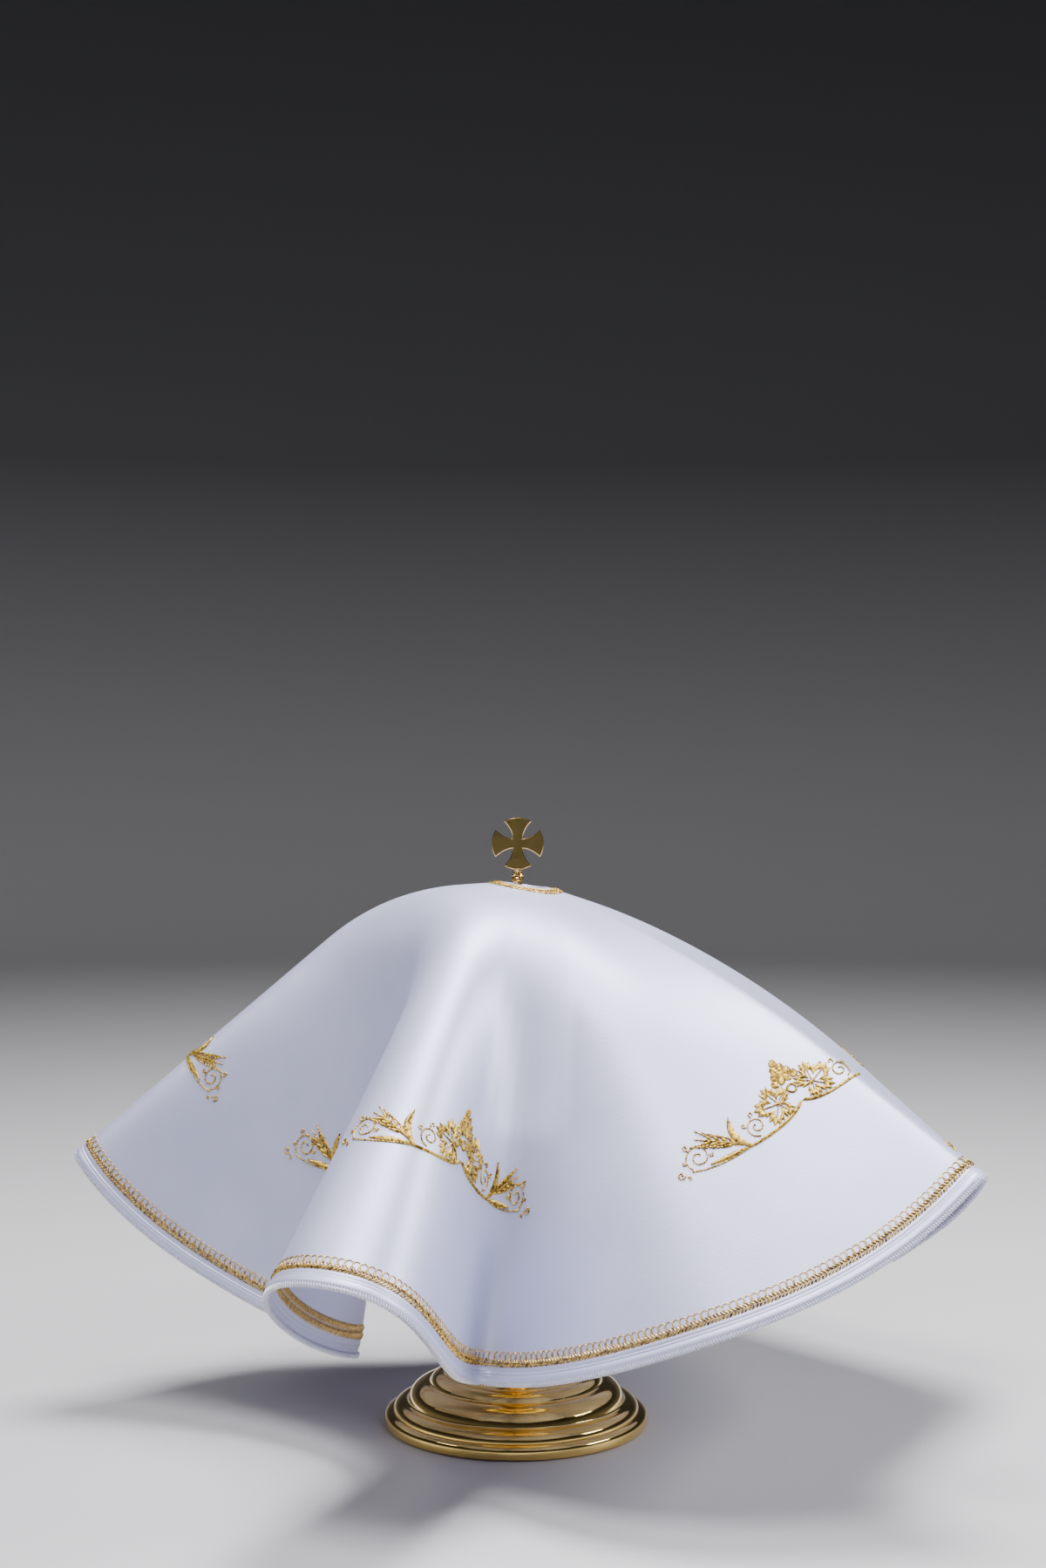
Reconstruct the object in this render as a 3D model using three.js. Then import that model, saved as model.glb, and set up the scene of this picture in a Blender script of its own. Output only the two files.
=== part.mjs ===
// A round veil hanging over a covered ciborium. Millimetres, +Z up.
// The origin is the middle of the foot's underside, and the cross faces -Y.
import * as THREE from 'three';
import { ParametricGeometry } from 'three/addons/geometries/ParametricGeometry.js';

// The veil is one round cloth with a hole at its centre for the lid's finial
const VEIL_RADIUS = 236;
const HOLE_RADIUS = 9;
const CLOTH_THICKNESS = 1.5;
// The hole has slid to the right of the finial
const HOLE_CENTRE = new THREE.Vector3(4.5, 0, 226.7);
// Faces of the cloth: steps round it, steps from hole to hem, and how they crowd to the hole
const ROUND_STEPS = 144;
const RING_STEPS = 12;
const RING_CROWDING = 1.35;
// Cloth angle, in degrees, at the first row of the hem
const HEM_START = -5.7;
// Steps for measuring the hem, and rounds for settling its height
const HEM_SAMPLES = 720;
const SETTLE_ROUNDS = 25;
// Steps out and round, in millimetres and degrees, that give the cloth's slope at a point
const SLOPE_STEP = 0.5;
const SLOPE_TURN = 1;
// The least that the cloth falls between its shoulder and its hem
const LEAST_FALL = 10;

// Where the cloth leaves the lid, one row for each 45 degrees of the cloth from +X:
// the slope of its top, the length from the centre to the bend, and how soft the bend is
const SHOULDER = [
  { slope: 0.31, reach: 127, soft: 98 },
  { slope: 0.37, reach: 75, soft: 54 },
  { slope: 0.27, reach: 62, soft: 26 },
  { slope: 0.15, reach: 65, soft: 30 },
  { slope: 0.04, reach: 60, soft: 34 },
  { slope: 0.09, reach: 52, soft: 24 },
  { slope: 0.24, reach: 60, soft: 27 },
  { slope: 0.39, reach: 70, soft: 50 },
];

// The hem seen from above, as the control points of a smooth closed curve
const HEM = [
  // hollow behind the front corner
  { x: 144, y: -59 },
  // right wing
  { x: 191, y: -1 },
  { x: 201, y: 47 },
  { x: 160, y: 95 },
  // back fold
  { x: 114, y: 149 },
  { x: 85, y: 200 },
  { x: 65, y: 218 },
  { x: 43, y: 186 },
  { x: 16, y: 132 },
  // hollow behind the left wing
  { x: -20, y: 95 },
  { x: -68, y: 96 },
  { x: -115, y: 92 },
  // left wing
  { x: -148, y: 54 },
  { x: -195, y: 26 },
  { x: -186, y: 9 },
  { x: -124, y: -6 },
  // deep valley
  { x: -69, y: -46 },
  { x: -55, y: -84 },
  // open fold at the front left
  { x: -81, y: -124 },
  { x: -94, y: -159 },
  { x: -64, y: -180 },
  { x: -32, y: -179 },
  { x: -22, y: -134 },
  // second valley
  { x: -15, y: -92 },
  { x: 3, y: -120 },
  // broad front
  { x: 59, y: -161 },
  { x: 145, y: -143 },
  // front corner at the right
  { x: 183, y: -131 },
  { x: 141, y: -113 },
];

// The ciborium: turned pieces with a running gap between them
const GAP = 0.3;
const WALL = 1.6;
const TURN_STEPS = 40;
const CURVE_STEPS = 3;
// The lid stands a little to the right on its bowl
const LID_SHIFT = 0.7;

// Foot and stem in one piece: each row is a curve by its control and its end, radius and height
const FOOT_BASE = 53;
const FOOT = [
  // rim bead
  { controlR: 55.6, controlZ: 0.2, r: 55, z: 3.4 },
  { controlR: 54.9, controlZ: 5.9, r: 51.4, z: 6.1 },
  // second bead
  { controlR: 51.2, controlZ: 9.2, r: 47.4, z: 9.8 },
  { controlR: 45.2, controlZ: 9.7, r: 45, z: 10.9 },
  // two steps of the dome
  { controlR: 44.2, controlZ: 16.2, r: 37.6, z: 17.4 },
  { controlR: 36, controlZ: 17.3, r: 35.8, z: 18.2 },
  { controlR: 35, controlZ: 20.3, r: 31.6, z: 20.9 },
  { controlR: 30.2, controlZ: 20.8, r: 30, z: 21.5 },
  // trumpet stem
  { controlR: 20, controlZ: 23.5, r: 15.4, z: 31.5 },
  { controlR: 9.4, controlZ: 43, r: 7.6, z: 66 },
];

// Knop of the stem
const KNOP = { bottom: 66.3, neck: 7.6, collar: 10, collarHeight: 3, radius: 17, middle: 92, top: 118 };

// Bowl
const BOWL = { radius: 49, bottom: 118.3, stemRadius: 10, beltHeight: 167, rim: 196 };
// How full its round bottom is outside and inside, as shares of its radius
const BOWL_FULLNESS = { outside: 0.7, inside: 0.6 };

// Lid: a shallow dome that carries the cloth
const LID = { radius: 50, rimHeight: 3.2, crown: 222.3, shoulderRadius: 48, shoulderHeight: 203, innerRadius: 47.2 };

// Finial: a boss under the cloth, then two rings and a cup above it
const FINIAL = { boss: 4.5, bossTop: 224, neck: 1.7, ringLow: 226.6, ringHigh: 228.2, ring: 2.6, bead: 2.7, top: 230.8 };
const FINIAL_STEPS = 24;

// Cross: four flared arms cut from a plate
const CROSS = { radius: 10.9, middle: 242.1, corner: 2.05, flare: 31.5, thickness: 2.2, bevel: 0.4 };
const CROSS_CONTROL = { across: 2.2, along: 5.6 };
const CROSS_STEPS = 6;

const SATIN = new THREE.MeshStandardMaterial({ color: 0xe6e6f2, roughness: 0.5, metalness: 0 });
const GOLD = new THREE.MeshStandardMaterial({ color: 0xd9a548, roughness: 0.15, metalness: 1 });

// One column of a closed table as a uniform cubic B-spline
function spline(rows, column, u) {
  const count = rows.length;
  const row = Math.floor(u);
  const f = u - row;
  const value = (step) => rows[(((row + step) % count) + count) % count][column];
  const before = (1 - f) ** 3 * value(-1);
  const here = (3 * f ** 3 - 6 * f ** 2 + 4) * value(0);
  const next = (1 + 3 * f + 3 * f ** 2 - 3 * f ** 3) * value(1);
  const after = f ** 3 * value(2);
  return (before + here + next + after) / 6;
}

// The bend of the cloth at an angle, in radians, with its point on the lid's shoulder
function shoulderAt(angle) {
  const u = (angle / (2 * Math.PI)) * SHOULDER.length;
  const reach = spline(SHOULDER, 'reach', u);
  const soft = spline(SHOULDER, 'soft', u);
  const tilt = Math.atan(spline(SHOULDER, 'slope', u));
  const out = reach * Math.cos(tilt);
  const arm = new THREE.Vector3(out * Math.cos(angle), out * Math.sin(angle), -reach * Math.sin(tilt));
  return { reach, soft, point: arm.add(HOLE_CENTRE) };
}

// The hem's point over x and y: the thread from the bend to the hem keeps its length
function hemPoint(x, y, angle) {
  const bend = shoulderAt(angle);
  const thread = VEIL_RADIUS - bend.reach;
  const out = Math.hypot(x - bend.point.x, y - bend.point.y);
  const fall = Math.sqrt(Math.max(thread ** 2 - out ** 2, LEAST_FALL ** 2));
  return new THREE.Vector3(x, y, bend.point.z - fall);
}

// The hanging hem: the cloth's angle follows the length measured along it
function hangHem() {
  const start = THREE.MathUtils.degToRad(HEM_START);
  const samples = [];
  for (let i = 0; i <= HEM_SAMPLES; i += 1) {
    const u = (i / HEM_SAMPLES) * HEM.length;
    const angle = start + (i / HEM_SAMPLES) * 2 * Math.PI;
    samples.push({ x: spline(HEM, 'x', u), y: spline(HEM, 'y', u), angle });
  }
  for (let round = 0; round < SETTLE_ROUNDS; round += 1) {
    let length = 0;
    for (const [i, sample] of samples.entries()) {
      sample.point = hemPoint(sample.x, sample.y, sample.angle);
      length += i > 0 ? sample.point.distanceTo(samples[i - 1].point) : 0;
      sample.length = length;
    }
    for (const sample of samples) {
      sample.angle = start + (sample.length / length) * 2 * Math.PI;
    }
  }
  return samples;
}

const hem = hangHem();

// The hanging hem's point at an angle of the cloth
function hemAt(angle) {
  const first = hem[0].angle;
  const turn = 2 * Math.PI;
  const wrapped = first + ((((angle - first) % turn) + turn) % turn);
  const next = Math.max(1, hem.findIndex((sample) => sample.angle >= wrapped));
  const a = hem[next - 1];
  const b = hem[next];
  return a.point.clone().lerp(b.point, (wrapped - a.angle) / (b.angle - a.angle));
}

// The cloth's upper face at a length from its centre: straight, a soft bend, then straight to the hem
function clothPoint(reach, angle) {
  const bend = shoulderAt(angle);
  const past = reach - bend.reach;
  let fallen = (past + bend.soft) ** 2 / (4 * bend.soft);
  if (past < -bend.soft) fallen = 0;
  if (past > bend.soft) fallen = past;
  const along = bend.point.clone().sub(HOLE_CENTRE).normalize();
  const down = hemAt(angle).sub(bend.point).normalize();
  return HOLE_CENTRE.clone().addScaledVector(along, reach - fallen).addScaledVector(down, fallen);
}

// The cloth's lower face, one thickness under the upper one
function undersidePoint(reach, angle) {
  const turn = THREE.MathUtils.degToRad(SLOPE_TURN);
  const along = clothPoint(reach + SLOPE_STEP, angle).sub(clothPoint(reach - SLOPE_STEP, angle));
  const round = clothPoint(reach, angle + turn).sub(clothPoint(reach, angle - turn));
  const up = along.cross(round).normalize();
  return clothPoint(reach, angle).addScaledVector(up, -CLOTH_THICKNESS);
}

// Cloth of the veil: out along the upper face, back along the lower one
function veilGeometry() {
  const sectionSteps = 2 * RING_STEPS + 2;
  const ringReach = (ring) => {
    const share = (ring / RING_STEPS) ** RING_CROWDING;
    return HOLE_RADIUS + (VEIL_RADIUS - HOLE_RADIUS) * share;
  };
  const place = (u, v, target) => {
    const step = Math.round(u * sectionSteps) % sectionSteps;
    const angle = v * 2 * Math.PI;
    const above = step <= RING_STEPS;
    const ring = above ? step : sectionSteps - 1 - step;
    target.copy(above ? clothPoint(ringReach(ring), angle) : undersidePoint(ringReach(ring), angle));
  };
  return new ParametricGeometry(place, sectionSteps, ROUND_STEPS);
}

// A solid turned round +Z from an outline of radius and height
function turned(outline, steps = TURN_STEPS) {
  const points = outline.getPoints(CURVE_STEPS);
  const geometry = new THREE.LatheGeometry(points, steps);
  geometry.rotateX(Math.PI / 2);
  return geometry;
}

function footGeometry() {
  const outline = new THREE.Path();
  outline.moveTo(0, 0);
  outline.lineTo(FOOT_BASE, 0);
  for (const curve of FOOT) {
    outline.quadraticCurveTo(curve.controlR, curve.controlZ, curve.r, curve.z);
  }
  outline.lineTo(0, FOOT.at(-1).z);
  return turned(outline);
}

function knopGeometry() {
  const { bottom, neck, collar, collarHeight, radius, middle, top } = KNOP;
  const outline = new THREE.Path();
  outline.moveTo(0, bottom);
  outline.lineTo(collar, bottom);
  outline.lineTo(collar, bottom + collarHeight);
  outline.lineTo(neck, bottom + 2 * collarHeight);
  outline.quadraticCurveTo(radius, middle - radius, radius, middle);
  outline.quadraticCurveTo(radius, middle + radius, neck, top - 2 * collarHeight);
  outline.lineTo(collar, top - collarHeight);
  outline.lineTo(collar, top);
  outline.lineTo(0, top);
  return turned(outline);
}

function bowlGeometry() {
  const { radius, bottom, stemRadius, beltHeight, rim } = BOWL;
  const { outside, inside } = BOWL_FULLNESS;
  const inner = radius - WALL;
  const floor = bottom + 2 * WALL;
  const outline = new THREE.Path();
  outline.moveTo(0, bottom);
  outline.lineTo(stemRadius, bottom);
  outline.bezierCurveTo(radius * outside, bottom + WALL, radius, bottom + stemRadius, radius, beltHeight);
  outline.lineTo(radius, rim);
  outline.lineTo(inner, rim);
  outline.lineTo(inner, beltHeight);
  outline.bezierCurveTo(inner, bottom + stemRadius + WALL, radius * inside, floor, 0, floor);
  return turned(outline);
}

function lidGeometry() {
  const { radius, rimHeight, crown, shoulderRadius, shoulderHeight, innerRadius } = LID;
  const bottom = BOWL.rim + GAP;
  // the dome is a parabola: its control lies level with the crown, halfway out
  const halfway = shoulderRadius / 2;
  const outline = new THREE.Path();
  outline.moveTo(0, crown - WALL);
  outline.quadraticCurveTo(halfway, crown - WALL, innerRadius - WALL, shoulderHeight - WALL);
  outline.lineTo(innerRadius, bottom + rimHeight);
  outline.lineTo(innerRadius, bottom);
  outline.lineTo(radius, bottom);
  outline.lineTo(radius, bottom + rimHeight);
  outline.lineTo(shoulderRadius, shoulderHeight);
  outline.quadraticCurveTo(halfway, crown, 0, crown);
  return turned(outline);
}

function finialGeometry() {
  const { boss, bossTop, neck, ringLow, ringHigh, ring, bead, top } = FINIAL;
  const beadMiddle = (ringHigh + top) / 2;
  const outline = new THREE.Path();
  outline.moveTo(0, LID.crown + GAP);
  outline.lineTo(boss, LID.crown + GAP);
  outline.lineTo(boss, bossTop);
  outline.lineTo(neck, bossTop + GAP);
  outline.lineTo(neck, ringLow - GAP);
  outline.lineTo(ring, ringLow);
  outline.lineTo(ring, ringHigh - GAP);
  outline.lineTo(neck, ringHigh);
  outline.quadraticCurveTo(bead + neck / 2, beadMiddle, neck, top);
  outline.lineTo(0, top);
  return turned(outline, FINIAL_STEPS);
}

// One quarter of the cross after another: a flared side, the rounded end, and the other side
function crossGeometry() {
  const { radius, corner, flare, thickness, bevel } = CROSS;
  const { across, along } = CROSS_CONTROL;
  const flareAngle = THREE.MathUtils.degToRad(flare);
  const shape = new THREE.Shape();
  shape.moveTo(corner, corner);
  for (let arm = 0; arm < 4; arm += 1) {
    const axis = Math.PI / 2 + (arm * Math.PI) / 2;
    const turn = (side, length) => new THREE.Vector2(side, length)
      .rotateAround(new THREE.Vector2(), axis - Math.PI / 2);
    const near = turn(across, along);
    const tip = turn(radius * Math.sin(flareAngle), radius * Math.cos(flareAngle));
    const far = turn(-across, along);
    const next = turn(-corner, corner);
    shape.quadraticCurveTo(near.x, near.y, tip.x, tip.y);
    shape.absarc(0, 0, radius, axis - flareAngle, axis + flareAngle, false);
    shape.quadraticCurveTo(far.x, far.y, next.x, next.y);
  }
  const geometry = new THREE.ExtrudeGeometry(shape, {
    depth: thickness - 2 * bevel,
    bevelThickness: bevel,
    bevelSize: bevel,
    bevelOffset: -bevel,
    bevelSegments: 1,
    curveSegments: CROSS_STEPS,
  });
  geometry.translate(0, 0, bevel - thickness / 2);
  geometry.rotateX(Math.PI / 2);
  return geometry;
}

function piece(name, geometry, material) {
  const mesh = new THREE.Mesh(geometry, material);
  mesh.name = name;
  return mesh;
}

const ciborium = new THREE.Group();
ciborium.add(piece('foot', footGeometry(), GOLD));
ciborium.add(piece('knop', knopGeometry(), GOLD));
ciborium.add(piece('bowl', bowlGeometry(), GOLD));

const cover = new THREE.Group();
cover.position.x = LID_SHIFT;
cover.add(piece('lid', lidGeometry(), GOLD));
cover.add(piece('finial', finialGeometry(), GOLD));
const cross = piece('cross', crossGeometry(), GOLD);
cross.position.z = CROSS.middle;
cover.add(cross);
ciborium.add(cover);

const part = new THREE.Group();
part.add(ciborium);
part.add(piece('veil', veilGeometry(), SATIN));

export default part;
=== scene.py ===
# A round satin veil, edged and embroidered in gold thread, hanging over a covered ciborium.
# Metres, +Z up. The ciborium's foot stands on the origin, and the cross faces -Y.
import math

import bmesh
import bpy
import numpy as np
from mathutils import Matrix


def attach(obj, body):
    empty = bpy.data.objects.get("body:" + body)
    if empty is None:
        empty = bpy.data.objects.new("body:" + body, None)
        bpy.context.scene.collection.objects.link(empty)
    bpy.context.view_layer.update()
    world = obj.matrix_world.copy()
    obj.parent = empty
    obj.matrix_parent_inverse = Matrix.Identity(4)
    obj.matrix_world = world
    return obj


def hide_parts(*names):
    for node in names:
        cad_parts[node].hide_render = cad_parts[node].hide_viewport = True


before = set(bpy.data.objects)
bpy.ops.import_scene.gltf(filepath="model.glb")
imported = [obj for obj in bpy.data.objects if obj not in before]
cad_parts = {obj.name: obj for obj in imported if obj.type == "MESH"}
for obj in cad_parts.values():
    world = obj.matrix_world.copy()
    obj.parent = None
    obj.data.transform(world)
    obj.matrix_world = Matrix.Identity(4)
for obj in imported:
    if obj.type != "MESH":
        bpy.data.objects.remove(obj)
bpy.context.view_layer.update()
scene = bpy.context.scene

# Camera, level with the cross and close in front
camera_data = bpy.data.cameras.new("camera")
camera_data.lens = 50
camera = bpy.data.objects.new("camera", camera_data)
camera.location = (0.0029, -0.912, 0.267)
camera.rotation_euler = (math.radians(90), 0, 0)
scene.collection.objects.link(camera)
scene.camera = camera

# Foot and stem
# Spun brass with a beaded rim and a stepped dome that rises into a trumpet stem.
# It is polished, gold plated and lacquered, and carries the knop on its neck.
FOOT_BASE = 0.053
FOOT = [
    dict(control_r=0.0556, control_z=0.0002, r=0.055, z=0.0034),
    dict(control_r=0.0549, control_z=0.0059, r=0.0514, z=0.0061),
    dict(control_r=0.0512, control_z=0.0092, r=0.0474, z=0.0098),
    dict(control_r=0.0452, control_z=0.0097, r=0.045, z=0.0109),
    dict(control_r=0.0442, control_z=0.0162, r=0.0376, z=0.0174),
    dict(control_r=0.036, control_z=0.0173, r=0.0358, z=0.0182),
    dict(control_r=0.035, control_z=0.0203, r=0.0316, z=0.0209),
    dict(control_r=0.0302, control_z=0.0208, r=0.03, z=0.0215),
    dict(control_r=0.02, control_z=0.0235, r=0.0154, z=0.0315),
    dict(control_r=0.0094, control_z=0.043, r=0.0076, z=0.066),
]
TURNED_SHARP = math.radians(24)
SAME_PLACE = 1e-6


def curve_to(outline, control, end, steps=10):
    """Adds a quadratic curve to an outline of radius and height."""
    start = outline[-1]
    for step in range(1, steps + 1):
        f = step / steps
        outline.append(tuple(
            (1 - f) ** 2 * a + 2 * f * (1 - f) * c + f ** 2 * b
            for a, c, b in zip(start, control, end)
        ))


def turned(name, outline, steps=144, shift=0.0):
    """A solid turned round the upright line at x = shift."""
    bm = bmesh.new()
    verts = [bm.verts.new((shift + r, 0, z)) for r, z in outline]
    edges = [bm.edges.new(pair) for pair in zip(verts, verts[1:])]
    bmesh.ops.spin(
        bm,
        geom=verts + edges,
        cent=(shift, 0, 0),
        axis=(0, 0, 1),
        angle=math.tau,
        steps=steps,
        use_merge=True,
    )
    bmesh.ops.remove_doubles(bm, verts=bm.verts, dist=SAME_PLACE)
    bmesh.ops.recalc_face_normals(bm, faces=bm.faces)
    mesh = bpy.data.meshes.new(name)
    bm.to_mesh(mesh)
    bm.free()
    mesh.shade_smooth()
    mesh.set_sharp_from_angle(angle=TURNED_SHARP)
    return mesh


def add_piece(name, mesh, material, node=None):
    """Puts a finished mesh in the scene as a piece that rides on the ciborium's body."""
    mesh.materials.clear()
    mesh.materials.append(material)
    piece = bpy.data.objects.new(name, mesh)
    scene.collection.objects.link(piece)
    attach(piece, "root")
    if node:
        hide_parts(node)
    return piece


def new_material(name):
    """A material with its nodes, its links and its main shader."""
    material = bpy.data.materials.new(name)
    material.use_nodes = True
    nodes = material.node_tree.nodes
    return material, nodes, material.node_tree.links, nodes["Principled BSDF"]


def gold_plate(name, colour, roughness):
    """Polished gold plate: slow waves of the spinning, fine wiping marks and a lacquer."""
    material, nodes, links, shader = new_material(name)
    shader.inputs["Base Color"].default_value = (*colour, 1)
    shader.inputs["Metallic"].default_value = 1
    shader.inputs["Coat Weight"].default_value = 0.2
    shader.inputs["Coat Roughness"].default_value = 0.03
    place = nodes.new("ShaderNodeTexCoord")

    marks = nodes.new("ShaderNodeTexNoise")
    marks.inputs["Scale"].default_value = 260
    marks.inputs["Detail"].default_value = 6
    links.new(place.outputs["Object"], marks.inputs["Vector"])
    dull = nodes.new("ShaderNodeMapRange")
    dull.inputs["From Min"].default_value = 0.35
    dull.inputs["From Max"].default_value = 0.75
    dull.inputs["To Min"].default_value = roughness
    dull.inputs["To Max"].default_value = roughness + 0.07
    links.new(marks.outputs["Fac"], dull.inputs["Value"])
    links.new(dull.outputs["Result"], shader.inputs["Roughness"])

    turning = nodes.new("ShaderNodeMapping")
    turning.inputs["Scale"].default_value = (12, 12, 900)
    links.new(place.outputs["Object"], turning.inputs["Vector"])
    rings = nodes.new("ShaderNodeTexNoise")
    rings.inputs["Scale"].default_value = 1
    rings.inputs["Detail"].default_value = 3
    links.new(turning.outputs["Vector"], rings.inputs["Vector"])
    bump = nodes.new("ShaderNodeBump")
    bump.inputs["Strength"].default_value = 0.12
    bump.inputs["Distance"].default_value = 0.0002
    links.new(rings.outputs["Fac"], bump.inputs["Height"])
    links.new(bump.outputs["Normal"], shader.inputs["Normal"])
    return material


copper_gold = gold_plate("gold_plate_foot", (0.98, 0.7, 0.22), 0.07)
foot_outline = [(0, 0), (FOOT_BASE, 0)]
for row in FOOT:
    curve_to(foot_outline, (row["control_r"], row["control_z"]), (row["r"], row["z"]))
foot_outline.append((0, FOOT[-1]["z"]))
add_piece("foot_and_stem", turned("foot_and_stem", foot_outline), copper_gold, "foot")

# Knop
# A hollow brass ball with a collar at each end, screwed on the stem under the bowl.
# The veil hides most of it.
KNOP_BOTTOM = 0.0663
KNOP_TOP = 0.118
KNOP_MIDDLE = 0.092
KNOP_RADIUS = 0.017
KNOP_NECK = 0.0076
COLLAR_RADIUS = 0.01
COLLAR_HEIGHT = 0.003
knop_outline = [
    (0, KNOP_BOTTOM),
    (COLLAR_RADIUS, KNOP_BOTTOM),
    (COLLAR_RADIUS, KNOP_BOTTOM + COLLAR_HEIGHT),
    (KNOP_NECK, KNOP_BOTTOM + 2 * COLLAR_HEIGHT),
]
curve_to(knop_outline, (KNOP_RADIUS, KNOP_MIDDLE - KNOP_RADIUS), (KNOP_RADIUS, KNOP_MIDDLE))
curve_to(knop_outline, (KNOP_RADIUS, KNOP_MIDDLE + KNOP_RADIUS), (KNOP_NECK, KNOP_TOP - 2 * COLLAR_HEIGHT))
knop_outline += [
    (COLLAR_RADIUS, KNOP_TOP - COLLAR_HEIGHT),
    (COLLAR_RADIUS, KNOP_TOP),
    (0, KNOP_TOP),
]
add_piece("knop", turned("knop", knop_outline), copper_gold, "knop")

# Bowl
# The cup that holds the hosts, spun in brass 1.6 mm thick and plated inside and out.
WALL = 0.0016
BOWL_RADIUS = 0.049
BOWL_BOTTOM = 0.1183
BOWL_STEM = 0.01
BOWL_BELT = 0.167
BOWL_RIM = 0.196
OUTER_ROUNDING = 0.7
INNER_ROUNDING = 0.6


def cup_curve(outline, controls, end, steps=24):
    """Adds a cubic curve to an outline of radius and height."""
    start = outline[-1]
    for step in range(1, steps + 1):
        f = step / steps
        outline.append(tuple(
            (1 - f) ** 3 * a + 3 * f * (1 - f) ** 2 * c + 3 * f ** 2 * (1 - f) * d + f ** 3 * b
            for a, c, d, b in zip(start, *controls, end)
        ))


bowl_inner = BOWL_RADIUS - WALL
bowl_outline = [(0, BOWL_BOTTOM), (BOWL_STEM, BOWL_BOTTOM)]
outer_controls = (
    (BOWL_RADIUS * OUTER_ROUNDING, BOWL_BOTTOM + WALL),
    (BOWL_RADIUS, BOWL_BOTTOM + BOWL_STEM),
)
cup_curve(bowl_outline, outer_controls, (BOWL_RADIUS, BOWL_BELT))
bowl_outline += [(BOWL_RADIUS, BOWL_RIM), (bowl_inner, BOWL_RIM), (bowl_inner, BOWL_BELT)]
inner_controls = (
    (bowl_inner, BOWL_BOTTOM + BOWL_STEM + WALL),
    (BOWL_RADIUS * INNER_ROUNDING, BOWL_BOTTOM + 2 * WALL),
)
cup_curve(bowl_outline, inner_controls, (0, BOWL_BOTTOM + 2 * WALL))
add_piece("bowl", turned("bowl", bowl_outline), copper_gold, "bowl")

# Lid
# A shallow dome of the same plate, resting on the bowl's rim. The cloth lies on it.
# It stands a little to the right on the bowl.
LID_SHIFT = 0.0007
LID_BOTTOM = 0.1963
LID_RADIUS = 0.05
LID_RIM_TOP = LID_BOTTOM + 0.0032
LID_INNER = 0.0472
LID_SHOULDER = 0.048
LID_SHOULDER_Z = 0.203
LID_CROWN = 0.2223
LID_STEPS = 24
lid_outline = [(0, LID_CROWN - WALL)]
curve_to(
    lid_outline,
    (LID_SHOULDER / 2, LID_CROWN - WALL),
    (LID_INNER - WALL, LID_SHOULDER_Z - WALL),
    LID_STEPS,
)
lid_outline += [
    (LID_INNER, LID_RIM_TOP),
    (LID_INNER, LID_BOTTOM),
    (LID_RADIUS, LID_BOTTOM),
    (LID_RADIUS, LID_RIM_TOP),
    (LID_SHOULDER, LID_SHOULDER_Z),
]
curve_to(lid_outline, (LID_SHOULDER / 2, LID_CROWN), (0, LID_CROWN), LID_STEPS)
add_piece("lid", turned("lid", lid_outline, shift=LID_SHIFT), copper_gold, "lid")

# Finial
# Turned brass screwed on the lid's crown: a boss under the cloth, a neck, a ring,
# a bead and a small cup that holds the cross.
FINIAL = [
    dict(r=0.0045, z=0.2226),
    dict(r=0.0045, z=0.224),
    dict(r=0.0017, z=0.2243),
    dict(r=0.0017, z=0.2263),
    dict(r=0.0023, z=0.2265),
    dict(r=0.0026, z=0.2268),
    dict(r=0.0026, z=0.2276),
    dict(r=0.0023, z=0.228),
    dict(r=0.0017, z=0.2282),
    dict(r=0.0024, z=0.2284),
    dict(r=0.0026, z=0.2288),
    dict(r=0.0024, z=0.2293),
    dict(r=0.0017, z=0.2296),
    dict(r=0.0021, z=0.2299),
    dict(r=0.0021, z=0.2305),
    dict(r=0.0017, z=0.2308),
]
bright_gold = gold_plate("gold_plate_finial", (0.84, 0.6, 0.24), 0.16)
finial_outline = [(0, FINIAL[0]["z"])]
finial_outline += [(row["r"], row["z"]) for row in FINIAL]
finial_outline.append((0, FINIAL[-1]["z"]))
finial_mesh = turned("finial", finial_outline, steps=64, shift=LID_SHIFT)
add_piece("finial", finial_mesh, bright_gold, "finial")

# Cross
# Cut from brass plate 2.2 mm thick, with four flared arms whose ends share one circle.
# Its edges are bevelled and polished, and it is soldered on the cup. Its faces are duller, and their dark
# gold colour is a painted reflection of a dark room.
CROSS_RADIUS = 0.0109
CROSS_MIDDLE = 0.2421
CROSS_CORNER = 0.00205
CROSS_FLARE = math.radians(31.5)
CROSS_THICKNESS = 0.0022
CROSS_BEVEL = 0.0003
CROSS_ACROSS = 0.0022
CROSS_ALONG = 0.0056
CROSS_SIDE_STEPS = 12
CROSS_END_STEPS = 16
CROSS_SHARP = math.radians(20)
FACING = 0.99


def cross_outline():
    """The cross in its own plane, one arm after another."""
    points = []
    for arm in range(4):
        axis = arm * math.pi / 2
        sine, cosine = math.sin(axis), math.cos(axis)
        tip_across = CROSS_RADIUS * math.sin(CROSS_FLARE)
        tip_along = CROSS_RADIUS * math.cos(CROSS_FLARE)
        side = [(CROSS_CORNER, CROSS_CORNER)]
        curve_to(side, (CROSS_ACROSS, CROSS_ALONG), (tip_across, tip_along), CROSS_SIDE_STEPS)
        for step in range(1, CROSS_END_STEPS):
            turn = CROSS_FLARE * (1 - 2 * step / CROSS_END_STEPS)
            side.append((CROSS_RADIUS * math.sin(turn), CROSS_RADIUS * math.cos(turn)))
        side.append((-tip_across, tip_along))
        curve_to(
            side,
            (-CROSS_ACROSS, CROSS_ALONG),
            (-CROSS_CORNER, CROSS_CORNER),
            CROSS_SIDE_STEPS,
        )
        points += [(a * cosine - b * sine, a * sine + b * cosine) for a, b in side[:-1]]
    return points


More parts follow.
